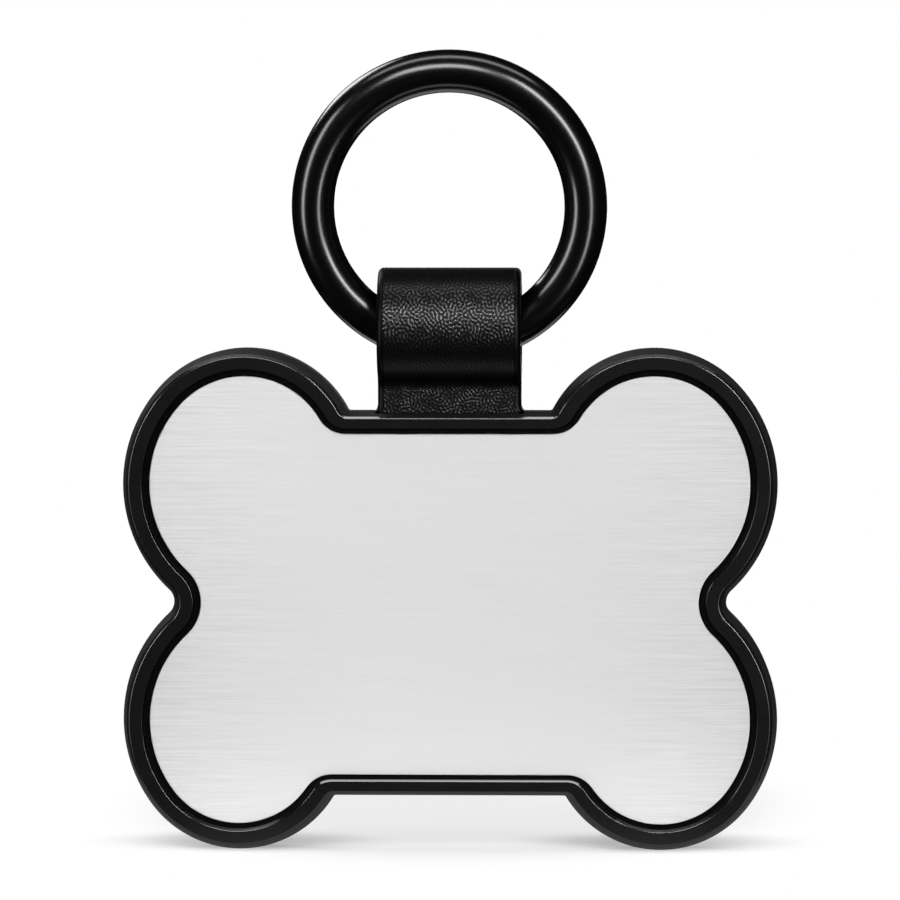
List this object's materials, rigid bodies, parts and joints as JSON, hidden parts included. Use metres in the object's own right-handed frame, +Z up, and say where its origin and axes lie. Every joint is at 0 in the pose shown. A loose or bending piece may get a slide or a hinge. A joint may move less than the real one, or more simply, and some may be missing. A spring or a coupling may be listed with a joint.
{
  "type": "dog tag",
  "caption": "Bone-shaped pet tag: brushed metal plate in a black frame, carried by a folded leather loop with a round ring that swings in its eye.",
  "frame": {"origin": "on the floor under the tag's middle, at the plane where the strap's two plies meet", "axes": "+Z up through the ring, +X to the right seen from the plate's side, the plate faces -Y"},
  "size_m": [0.0458, 0.008, 0.0559],
  "materials": {
    "satin_black_metal": "satin black coat on cast metal",
    "brushed_plate": "fine straight brushing from left to right",
    "adhesive_film": "thin black adhesive film",
    "black_leather": "black pebble grain with painted edges",
    "anchor_steel": "plain sheet steel",
    "rivet_brass": "plain brass",
    "gloss_black_ring": "glossy black plated wire",
    "black_screw": "black oxide"
  },
  "bodies": {
    "tag": {"frame": "satin_black_metal", "face_plate": "brushed_plate", "plate_adhesive": "adhesive_film", "back_cover": "satin_black_metal", "cover_screw_1": "black_screw", "cover_screw_2": "black_screw", "cover_screw_3": "black_screw", "cover_screw_4": "black_screw", "strap_tails": "black_leather", "anchor_bar": "anchor_steel", "anchor_rivet_left": "rivet_brass", "anchor_rivet_right": "rivet_brass"},
    "loop": {"strap_loop": "black_leather"},
    "carrying_ring": {"ring": "gloss_black_ring"}
  },
  "joints": [
    {"name": "strap_flex", "type": "hinge", "parent": "tag", "child": "loop", "pos_m": [0, 0, 0.0315], "axis": [1, 0, 0], "range_deg": [-20, 20], "stiffness_Nm_per_rad": 0.01},
    {"name": "ring_swing", "type": "hinge", "parent": "loop", "child": "carrying_ring", "pos_m": [0, 0, 0.03644], "axis": [1, 0, 0], "range_deg": [-133, 117]}
  ]
}
